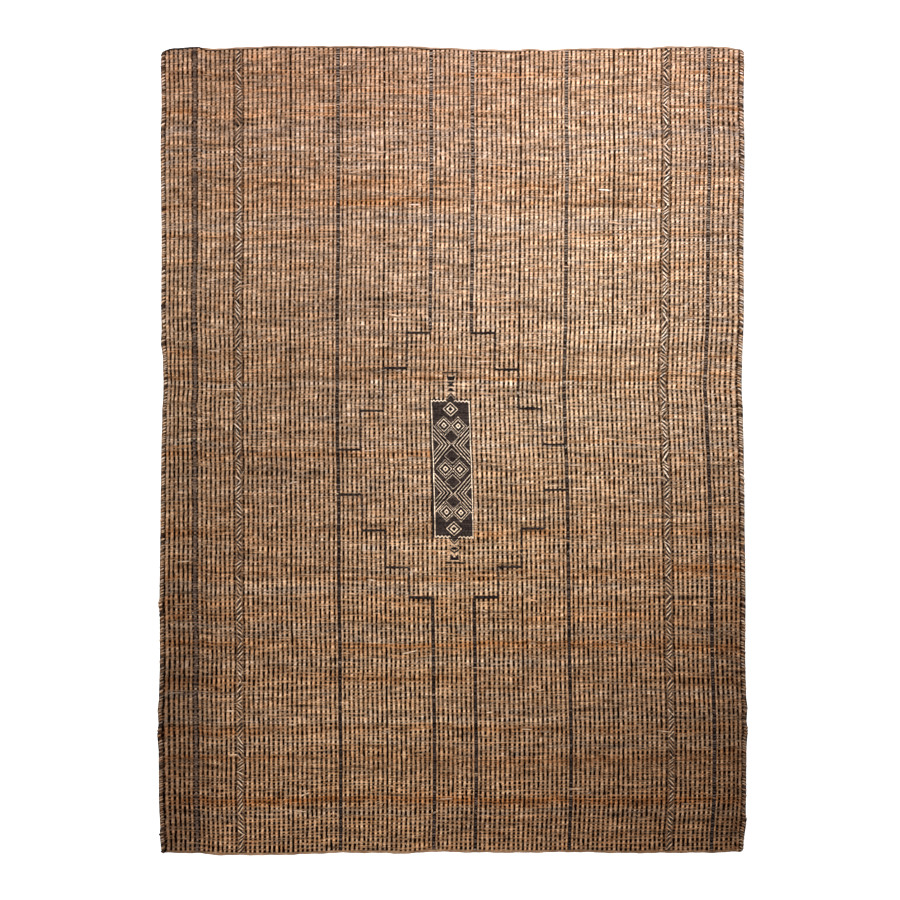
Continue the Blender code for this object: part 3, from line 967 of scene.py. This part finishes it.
# The lines grow pale and brown towards the far end, and the lozenge is black throughout
up = row / ROWS
line_tone = (LINE_SHADE[0] + LINE_SHADE[1] * up * up) * np.where(place == DARKER_LINE[0], DARKER_LINE[1], 1.0)
line_tone = np.where(in_lozenge > 0, LOZENGE_SHADE, line_tone)
shade = uneven(line_dice, count, np.where(is_grey, GREY_SHADE, line_tone), stray=0.22)
faded = line_dice.random(count) < FADED_SHARE[0] + FADED_SHARE[1] * up
darkness = np.where(faded, FADED_BLACK, LINE_BLACK[0] + LINE_BLACK[1] * up * up)
darkness = np.where(is_grey, GREY_BLACK, darkness)
colour_threads(lines, np.clip(shade, 0.0, 1.0)[copy], NEUTRAL, darkness[copy])
dress(lines, jute_finish)

# The level sides of the lozenge: a dark cord that runs over the ribs and dips at every groove. The same
# cord edges the far left corner.

CORD_HALF = 0.0036
CORD_THICK = 0.0025
CORD_REACH = 0.40
CORD_HEIGHT = 0.0106
CORD_RISE = 0.08
CORD_SCALLOP = 0.22
CORD_DIP = 0.0009
CORD_SHADE = 0.06
ROW_SIZES = (0.6, 1.4)
CORNER_HALF = 0.0018
CORNER_HEIGHT = 0.0070
CORNER_COLUMNS = (0.7, 9.0)
CORNER_ROW = ROWS - 0.30
level_points = []
for grooves, places in LOZENGE:
    for first, last, along in zip(grooves, grooves[1:], places):
        for k in range(2 * abs(last - first)):
            column = first + (k + 0.5) / 2 * (1 if last > first else -1)
            level_points.append((column, row_at(column, along)))
level_points += [(column, CORNER_ROW) for column in np.arange(*CORNER_COLUMNS, 0.5)]
column, row = np.array(level_points).T
count = len(level_points)
levels, copy, bead = repeated_bead("lozenge_levels", count, 5, 6)
at_corner = row > ROWS - 1
rise = uneven(line_dice, count, CORD_RISE, stray=0.18)
scallop = CORD_SCALLOP * np.cos(2 * np.pi * column)
# A stroke is measured in rows of even height, so where the rows are high its cord is made thinner
row_size = np.diff(row_marks)[row.astype(int)] * 2 * HALF_LENGTH / ROW_PITCH
half = np.where(at_corner, CORNER_HALF, CORD_HALF / np.clip(row_size, *ROW_SIZES))
lay_strokes(
    levels, copy, bead, (column, row + scallop), (np.full(count, CORD_REACH), rise),
    (half, np.full(count, CORD_THICK)), np.where(at_corner, CORNER_HEIGHT, CORD_HEIGHT),
    over_ribs=CORD_DIP,
)
shade = np.clip(uneven(line_dice, count, CORD_SHADE, stray=0.10), 0.0, 1.0)
colour_threads(levels, shade[copy], NEUTRAL, 1.0)
dress(levels, jute_finish)

# The zigzag bands: two ribs wide near each side, worked in slanting stitches of dark and light thread
# that lean one way for a few rows and then the other.

ZIGZAG_TURN = 5.83
STROKE_ROWS = 0.62
STROKE_HALF = 0.0020
STROKE_ACROSS = 0.62
STROKE_ALONG = 0.91
STROKE_HEIGHT = 0.0078
LIGHT_STROKE = 0.78
DARK_STROKE = 0.08
STROKE_BLACK = 0.95
zigzag_strokes = []
for groove in ZIGZAG_GROOVES:
    for k in range(int(ROWS / STROKE_ROWS)):
        place = (k + 0.5) * STROKE_ROWS
        way = 1 if int(place / ZIGZAG_TURN) % 2 == 0 else -1
        zigzag_strokes.append((groove, place, way, k % 2))
groove, row, way, is_light = np.array(zigzag_strokes, dtype=float).T
count = len(zigzag_strokes)
zigzags, copy, bead = repeated_bead("zigzag_stitches", count, 5, 5)
lay_strokes(
    zigzags, copy, bead,
    (uneven(line_dice, count, groove, stray=0.06), uneven(line_dice, count, row, stray=0.10)),
    (uneven(line_dice, count, STROKE_ACROSS, stray=0.10),
     way * uneven(line_dice, count, STROKE_ALONG, stray=0.12)),
    (np.full(count, STROKE_HALF), np.full(count, STROKE_HALF)),
    uneven(line_dice, count, STROKE_HEIGHT, stray=0.0006),
)
shade = uneven(line_dice, count, np.where(is_light, LIGHT_STROKE, DARK_STROKE), stray=0.12)
darkness = np.where(is_light, 0.0, STROKE_BLACK)
colour_threads(zigzags, np.clip(shade, 0.02, 1.0)[copy], NEUTRAL, darkness[copy])
dress(zigzags, jute_finish)

# The middle panel: a narrow upright field woven in finer threads, three to a rib, charcoal with light
# nested diamonds, solid lozenges and chevrons in the manner of old desert mats. A light thread frames it.

THREADS_PER_RIB = 3
PANEL_TOP = 0.0082
# Motifs from the panel's upper edge to its middle, in threads; the lower half mirrors them. Each has its
# kind, place down, place out from the middle line, and how much flatter than a square it is.
Motif = namedtuple("Motif", "kind down out flat")
MOTIFS = (
    Motif("large_nest", 6.8, 0.0, 1.09),
    Motif("small_nest", 17.3, 4.70, 0.98),
    Motif("solid", 24.4, 0.0, 1.06),
    Motif("solid", 36.8, 0.0, 1.10),
    Motif("small_nest", 44.9, 4.70, 1.0),
)
# Rings of each motif from its middle outwards: up to this many threads, light 1, charcoal 0 or black -1
RINGS = {
    "large_nest": ((1.7, -1), (2.75, 1), (4.5, -1), (5.1, 1), (5.9, -1)),
    "small_nest": ((0.8, -1), (1.8, 1), (3.75, -1), (4.3, 1), (5.6, -1), (5.9, 1)),
    "solid": ((4.9, 0), (5.25, 1), (6.1, -1)),
}
# Where the lines that cross meet, in threads down, and their slope. Then the lines beside the crossings,
# by distance out from the crossing's arms: from, to, shade as above
CHEVRONS_DOWN = 29.6
SLOPE = 0.87
CHEVRONS = ((-0.2, 0.6, -1), (0.6, 1.2, 1), (1.2, 3.0, -1), (3.0, 3.5, 1), (3.5, 5.3, -1), (5.3, 5.8, 1),
            (5.8, 7.4, -1), (7.4, 7.85, 1))
CORNER_DARK = 14.0
# The frame, in threads: its light line at the sides and at the ends, the black border out to it, the wave
# of the ends in threads and columns, and the half width of the opening in the middle of each end
FRAME_LINE = (0.75, 1.40)
FRAME_TOP = (1.2, 1.9)
BORDER_SIDE = 1.7
BORDER_TOP = 2.2
TOP_WAVE = (0.45, 0.8)
GATE = 3.3
GATE_NARROWS = 0.5
# A thread's height, how much a light thread's tone strays, the columns and metres of one speck of it, how
# many specks there are before they repeat, and how much they stray from rust brown to grey
THREAD = 0.00456
LIGHT_SPREAD = 0.11
SPECK = (0.23, 0.0032)
SPECKS = (40, 160)
SPECK_WARMTH = 0.12
# How much the middle line leans to the right at the near end, in ribs, and the charcoal's tone and stray
PANEL_LEAN = (0.28, 0.0)
FIELD_TONE = (0.15, 0.13)
# How far the threads stand out, the light ones above the black ones, and the height of the rim
THREAD_RISE = 0.0003
LIGHT_RISE = 0.0006
RIM_HEIGHT = 0.0050
# Where a light rib of a figure turns down into its groove, as a share of a rib, and how much painted shade
# darkens it there
FIGURE_GROOVE = 0.12
GROOVE_PAINTED_SHADE = 0.14


def panel_marks(c, along):
    """Light, charcoal or black at each place of the panel, and whether it is on the panel's rim."""
    edge = (PANEL_COLUMNS[1] - PANEL_COLUMNS[0]) / 2 * THREADS_PER_RIB
    middle = sum(PANEL_COLUMNS) / 2 + np.interp(along, PANEL_ENDS, PANEL_LEAN)
    out = np.abs(c - middle) * THREADS_PER_RIB
    down = np.minimum(along - PANEL_ENDS[0], PANEL_ENDS[1] - along) / THREAD
    slant = out - SLOPE * np.abs(down - CHEVRONS_DOWN)
    mark = 0.0 * out
    for low, high, shade in CHEVRONS:
        mark = np.where((down > CORNER_DARK) & (slant > low) & (slant < high), shade, mark)
    for motif in MOTIFS:
        ring = np.abs(out - motif.out) + np.abs(down - motif.down) * motif.flat
        for reach, shade in reversed(RINGS[motif.kind]):
            mark = np.where(ring < reach, shade, mark)
    inset = edge - out
    top = down + TOP_WAVE[0] * np.cos(2 * np.pi * (c - 0.5) / TOP_WAVE[1])
    gate = out < GATE - GATE_NARROWS * down
    mark = np.where((inset < BORDER_SIDE) | ((top < BORDER_TOP) & ~gate), -1, mark)
    mark = np.where(((inset > FRAME_LINE[0]) & (inset < FRAME_LINE[1]) & (down > FRAME_TOP[0])), 1, mark)
    mark = np.where((inset > FRAME_LINE[0]) & (top > FRAME_TOP[0]) & (top < FRAME_TOP[1]) & ~gate, 1, mark)
    from_side = np.minimum(c - PANEL_COLUMNS[0], PANEL_COLUMNS[1] - c) * THREADS_PER_RIB
    return mark, (from_side < 0.12) | ((down < 0.15) & ~gate)


def inlay(name, columns, ends, steps, marks, tone):
    """A grid of fine threads: light ones raised, black ones sunk, each face coloured by its mark."""
    obj = new_grid(name, *steps)
    spots = points_of(obj)
    c = columns[0] + (spots[:, 0] + 0.5) * (columns[1] - columns[0])
    along = ends[0] + (spots[:, 1] + 0.5) * (ends[1] - ends[0])
    rows = np.arange(ROWS + 1.0)
    r = np.interp(along, lay(np.full(ROWS + 1, sum(columns) / 2), rows, 0 * rows)[1], rows)
    mark, rim = marks(c, along)
    height = PANEL_TOP + THREAD_RISE * np.cos(2 * np.pi * c * THREADS_PER_RIB) + LIGHT_RISE * mark
    put_points(obj, *lay(c, r, np.where(rim, RIM_HEIGHT, height)))
    obj.data.shade_smooth()

    around = corner_points(obj).reshape(-1, 4)
    c, along = (part[around].mean(axis=1) for part in (c, along))
    mark, _ = marks(c, along)
    specks = panel_dice.standard_normal(SPECKS)
    speck_column = np.floor((c - columns[0]) / SPECK[0]).astype(int) % SPECKS[0]
    speck_row = np.floor((along - ends[0]) / SPECK[1]).astype(int) % SPECKS[1]
    speck = specks[speck_column, speck_row]
    # A light thread takes painted shade where it turns into a groove
    light = tone + LIGHT_SPREAD * speck - GROOVE_PAINTED_SHADE * (mark == 0.5)
    value = np.where(mark > 0, light, np.where(mark < 0, 0.0, FIELD_TONE[0] + FIELD_TONE[1] * speck))
    dark = np.where(mark > 0, 0.0, 1.0)
    colour_threads(obj, np.clip(value, 0.0, 1.0), NEUTRAL + SPECK_WARMTH * speck, dark, part="FACE")
    plan_map(obj)
    dress(obj, jute_finish)
    return obj


panel_dice = np.random.default_rng(53)
panel = inlay("diamond_panel", PANEL_COLUMNS, PANEL_ENDS, (140, 400), panel_marks, 0.90)

# The two small figures: dark triangles and bars in the same fine threads, woven into the middle ribs
# just past each end of the panel. Each ends in a row of short bars stitched over the ribs.

# Each figure's columns and its ends along the rug, and how far out its threads run before its rim
FIGURE_FIELDS = {1: ((61.60, 63.70), (0.1512, 0.2206)), -1: ((61.75, 63.85), (-0.3228, -0.2586))}
FIGURE_HALF = 3.10
# Strokes of the two small figures past the panel's ends, mirrored left and right, in threads: distance
# past the end on the middle line, its change a thread outwards, half thickness, from, to, shade
STROKES = {
    1: (
        (1.0, -1.0, 1.4, 0.0, 2.8, 0), (2.55, -1.0, 0.25, 0.0, 2.8, 1), (3.3, -1.0, 0.58, 0.0, 3.2, -1),
        (5.0, 0.0, 0.50, 0.0, 2.4, -1), (5.8, 0.0, 0.45, 0.0, 1.6, -1), (6.5, 0.0, 0.35, 0.0, 0.8, -1),
        (9.3, -0.60, 0.58, 0.0, 2.4, -1), (9.3, 0.60, 0.52, 0.0, 2.4, -1), (10.5, 0.0, 0.5, 0.0, 1.3, 0),
        (8.1, 0.0, 0.5, 0.0, 1.3, 0),
        (12.2, 0.0, 0.70, 0.0, 2.2, -1), (13.4, 0.0, 0.70, 0.0, 2.7, -1), (14.4, 0.0, 0.35, 1.6, 2.7, -1),
    ),
    -1: (
        (0.9, -1.0, 1.4, 0.0, 2.8, 0), (2.35, -1.0, 0.25, 0.0, 2.8, 1), (3.1, -1.0, 0.55, 0.0, 3.0, -1),
        (4.1, 0.0, 0.55, 2.0, 3.0, -1), (6.0, 0.0, 0.50, 0.0, 2.2, -1), (6.0, 0.0, 0.95, 0.0, 1.2, -1),
        (8.7, -0.70, 0.55, 0.0, 3.0, -1), (12.5, 0.0, 0.95, 0.0, 2.9, -1), (11.3, 0.0, 0.75, 0.6, 2.9, -1),
        (10.4, 0.0, 0.60, 1.5, 2.9, -1),
    ),
}


def figure_marks(end, c, along):
    """Light, charcoal or black at each place of a figure, and whether it is on the figure's rim."""
    columns, ends = FIGURE_FIELDS[end]
    out = np.abs(c - sum(columns) / 2) * THREADS_PER_RIB
    past = (along - ends[0] if end > 0 else ends[1] - along) / THREAD
    # Light thread, and 0.5 where painted shade marks a groove
    mark = np.where(np.abs(c - np.round(c)) < FIGURE_GROOVE, 0.5, 1.0)
    for middle, slope, half, low, high, shade in STROKES[end]:
        hit = (np.abs(past - middle - slope * out) < half) & (out >= low) & (out <= high)
        mark = np.where(hit, shade, mark)
    return mark, (out > FIGURE_HALF) | (past > past.max() - 0.1)


figure_pieces = [
    inlay(f"figure_{label}", *FIGURE_FIELDS[end], (40, 100), partial(figure_marks, end), 0.66)
    for label, end in (("far", 1), ("near", -1))
]

# The bars: column, place along the rug, half reach across in columns and along in rows. Then the half
# width, half thickness and height of a bar, and its dip over the ribs
BARS = (
    (61.25, 0.2274, 0.62, 0.05), (62.20, 0.2274, 0.62, -0.05), (63.10, 0.2274, 0.62, 0.04),
    (63.95, 0.2274, 0.62, -0.05), (61.65, -0.3272, 0.62, 0.04), (62.75, -0.3272, 0.30, 0.0),
    (63.75, -0.3272, 0.55, -0.04), (64.65, -0.3285, 0.55, 0.0),
)
BAR_HALF = 0.0032
BAR_THICK = 0.0018
BAR_HEIGHT = 0.0103
BAR_DIP = 0.0004
column, _, reach_across, reach_along = np.array(BARS).T
row = np.array([row_at(bar[0], bar[1]) for bar in BARS])
count = len(BARS)
bars, copy, bead = repeated_bead("figure_bars", count, 6, 6)
lay_strokes(
    bars, copy, bead, (column, row), (reach_across, reach_along),
    (np.full(count, BAR_HALF), np.full(count, BAR_THICK)), np.full(count, BAR_HEIGHT), over_ribs=BAR_DIP,
)
shade = np.clip(uneven(line_dice, count, CORD_SHADE, stray=0.06), 0.0, 1.0)
colour_threads(bars, shade[copy], NEUTRAL, 1.0)
dress(bars, jute_finish)

# The side edges: the weft turns back round the outermost warp, dark turn and light turn in
# alternation, so each side reads as a slanting rope.

TURN_SPACING = 0.0076
TURN_HALF = 0.0020
TURN_THICK = 0.0021
EDGE_BEND = 0.0042
EDGE_LEVEL = 0.0047
EDGE_INSET = 0.0010
BEND_ANGLE = math.radians(165)
# How far the upper end of a turn runs in over the weave for each radian, how high the bend stands above
# and below its middle, where it changes from one to the other, and how many rows it slants over
TURN_RUNS_IN = 0.0052
BEND_HEIGHTS = (1.20, 0.85)
BEND_MIDDLE = 1.5
TURN_SLANT = 0.9
LOWEST = 0.0004
# A light turn's shade and a dark one's, the share of dark ones, and how black they are
LIGHT_TURN = 0.82
DARK_TURN = 0.08
DARK_TURNS = 0.15
TURN_BLACK = 0.70
edge_dice = np.random.default_rng(71)
turns_a_side = int(2 * HALF_LENGTH / TURN_SPACING)
count = 2 * turns_a_side
turns, copy, bead = repeated_bead("edge_turns", count, 5, 6)
side = np.where(copy < turns_a_side, -1, 1)
number = np.mod(copy, turns_a_side)
bend = (bead[:, 2] + 1) / 2 * BEND_ANGLE
spread = uneven(edge_dice, count, 1.0, stray=0.15)[copy]
outward = EDGE_BEND * (np.sin(bend) - 1) - EDGE_INSET + bead[:, 0] * TURN_THICK * np.sin(bend)
inward = np.where(bend < math.pi / 2, (math.pi / 2 - bend) * TURN_RUNS_IN, 0.0)
bend_height = EDGE_BEND * np.where(bend < BEND_MIDDLE, *BEND_HEIGHTS)
level = EDGE_LEVEL + (bend_height + bead[:, 0] * TURN_THICK) * np.cos(bend)
row = (number + 0.5) / turns_a_side * ROWS
slant = TURN_SLANT / 2 - TURN_SLANT * (bead[:, 2] + 1) / 2
row = row + slant + bead[:, 1] * TURN_HALF * spread / ROW_PITCH
row = row + uneven(edge_dice, count, stray=0.12)[copy]
column = np.where(side < 0, 0.0, float(COLUMNS))
x, y, z = lay(column, np.clip(row, 0.0, ROWS), np.maximum(level, LOWEST))
x = x + side * (outward - inward + uneven(edge_dice, count, stray=0.0007)[copy])
put_points(turns, x, y, z)
turns.data.shade_smooth()
is_light = (edge_dice.random(count) > DARK_TURNS)[copy]
shade = np.where(is_light, LIGHT_TURN, DARK_TURN) + uneven(edge_dice, count, stray=0.08)[copy]
glow = uneven(edge_dice, count, NEUTRAL, stray=0.22)[copy]
darkness = np.where(is_light, 0.0, TURN_BLACK)
colour_threads(turns, np.clip(shade, 0.03, 1.0), np.clip(glow, 0.0, 1.0), darkness)
dress(turns, jute_finish)

# The end tapes: a narrow plain-woven tape folded over and sewn under each end, which shows past the
# weave as a thin brown-grey lip.

TAPE_THICK = 0.0005
TAPE_WEAVE = 2 * math.pi / 0.0011
# The fold of the tape, from its upper tongue round the lip to its lower tongue: heights, and places past
# the end
TAPE_LEVELS = (0.0019, 0.0021, 0.0020, 0.0011, 0.0002, 0.0002)
TAPE_REACHES = (-0.030, -0.012, -0.0010, 0.0, -0.0010, -0.030)
tape_finish = new_finish("tape_cloth")
tree = tape_finish.node_tree
tape_place = add_node(tree, "ShaderNodeUVMap", {"uv_map": "weave"}).outputs[0]
split = add_node(tree, "ShaderNodeSeparateXYZ", inputs={0: tape_place})
across_wave, along_wave = (
    math_node(tree, "SINE", math_node(tree, "MULTIPLY", split.outputs[axis], TAPE_WEAVE)) for axis in "XY"
)
plain_weave = math_node(tree, "MULTIPLY", across_wave, along_wave)
blotch = noise(tree, tape_place, (26.0, 26.0, 26.0), 4.0)
tape_colour = ramp(tree, blotch, (
    (0.30, (0.24, 0.152, 0.096)), (0.50, (0.40, 0.272, 0.184)), (0.70, (0.576, 0.424, 0.312)),
))
weave_light = stretched(tree, plain_weave, -1.0, 1.0, 0.72, 1.15)
# The tape takes the same painted shade by place
tape_colour = with_painted_shade(tree, mixed(tree, 1.0, tape_colour, weave_light, "MULTIPLY"))
fibre_surface(tape_finish, tape_colour, (300.0, 900.0, 900.0), 0.0002)

for label, end in (("far", 1), ("near", -1)):
    left, right = TAPE_SIDES[end]
    tape = new_grid(f"tape_{label}", 160, len(TAPE_REACHES) - 1)
    spots = points_of(tape)
    line = np.round((spots[:, 1] + 0.5) * (len(TAPE_REACHES) - 1)).astype(int)
    x = left + (spots[:, 0] + 0.5) * (right - left)
    ripple = 0.0007 * np.sin(61 * x + end) + 0.0005 * np.sin(149 * x + 2) - 0.0012
    outer = line >= 2
    reach = eased(FAR_END if end > 0 else NEAR_END, x) + np.where(outer & (line < 5), ripple, 0.0)
    y = end * (reach + np.array(TAPE_REACHES)[line])
    put_points(tape, x, y, np.array(TAPE_LEVELS)[line])
    folds = np.hypot(np.diff(TAPE_REACHES), np.diff(TAPE_LEVELS))
    girth = np.concatenate([[0.0], np.cumsum(folds)])
    lay_map(tape, "weave", x, girth[line])
    cloth = tape.modifiers.new("cloth", "SOLIDIFY")
    cloth.thickness = TAPE_THICK
    cloth.offset = -1.0 if end > 0 else 1.0
    apply_modifiers(tape)
    bpy.ops.object.mode_set(mode="EDIT")
    bpy.ops.mesh.select_all(action="SELECT")
    bpy.ops.mesh.normals_make_consistent(inside=False)
    bpy.ops.object.mode_set(mode="OBJECT")
    bpy.ops.object.shade_smooth_by_angle(angle=math.radians(60))
    tape.data.materials.append(tape_finish)
    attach(tape, "root")
    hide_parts(f"end_tape_{label}")

# Loose jute: short fibres that stand off the handspun yarn, and thicker stray turns that lie over
# two or three ribs. They are straw-light and lie mostly across the rug.

FIBRES = 600
FIBRE_HALF_LENGTHS = (0.004, 0.010)
FIBRE_WIDTHS = (0.0005, 0.0010)
FIBRE_THICK = 0.0006
FIBRE_HEIGHTS = (0.0093, 0.0108)
FIBRE_TURN = 0.45
FIBRE_BOW = 0.0022
FIBRE_TONE = 0.78
STRAY_TURNS = 170
STRAY_REACHES = (0.5, 1.6)
STRAY_WIDTHS = (0.0013, 0.0022)
STRAY_THICK = 0.0014
STRAY_HEIGHT = 0.0082
STRAY_DIP = 0.0014
STRAY_TONE = 0.66
# They keep so many columns and rows off the panel, and move so many columns aside
OFF_PANEL = (7.0, 3.0)
ASIDE = 20.0
loose_dice = np.random.default_rng(89)


def off_the_panel(column, row):
    """Moves the places that fall on the panel to the side."""
    middle = sum(PANEL_COLUMNS) / 2
    low, high = (row_at(middle, along) for along in PANEL_ENDS)
    on_it = np.abs(column - middle) < OFF_PANEL[0]
    on_it &= (row > low - OFF_PANEL[1]) & (row < high + OFF_PANEL[1])
    return np.where(on_it, column + ASIDE, column), row


count = FIBRES
fibres, copy, bead = repeated_bead("loose_fibres", count, 3, 5)
turned = loose_dice.normal(0.0, FIBRE_TURN, count)
half_length = loose_dice.uniform(*FIBRE_HALF_LENGTHS, count)
column, row = (loose_dice.uniform(1.0, number - 1.0, count) for number in (COLUMNS, ROWS))
lay_strokes(
    fibres, copy, bead, off_the_panel(column, row),
    (half_length * np.cos(turned) / COLUMN_PITCH, half_length * np.sin(turned) / ROW_PITCH),
    (loose_dice.uniform(*FIBRE_WIDTHS, count), np.full(count, FIBRE_THICK)),
    loose_dice.uniform(*FIBRE_HEIGHTS, count), bow=loose_dice.normal(0.0, FIBRE_BOW, count)[copy],
)
shade = np.clip(uneven(loose_dice, count, FIBRE_TONE, stray=0.09), 0.3, 1.0)
glow = np.clip(uneven(loose_dice, count, 0.48, stray=0.15), 0.0, 1.0)
colour_threads(fibres, shade[copy], glow[copy], 0.0)
dress(fibres, jute_finish)

count = STRAY_TURNS
strays, copy, bead = repeated_bead("stray_turns", count, 4, 8)
lay_strokes(
    strays, copy, bead,
    off_the_panel(loose_dice.integers(2, COLUMNS - 1, count) + 0.5 * loose_dice.integers(0, 2, count),
                  loose_dice.uniform(1.5, ROWS - 1.5, count)),
    (loose_dice.uniform(*STRAY_REACHES, count), loose_dice.normal(0.0, 0.22, count)),
    (loose_dice.uniform(*STRAY_WIDTHS, count), np.full(count, STRAY_THICK)),
    np.full(count, STRAY_HEIGHT), over_ribs=STRAY_DIP,
)
shade = np.clip(uneven(loose_dice, count, STRAY_TONE, stray=0.10), 0.2, 1.0)
glow = np.clip(uneven(loose_dice, count, 0.52, stray=0.20), 0.0, 1.0)
colour_threads(strays, shade[copy], glow[copy], 0.0)
dress(strays, jute_finish)
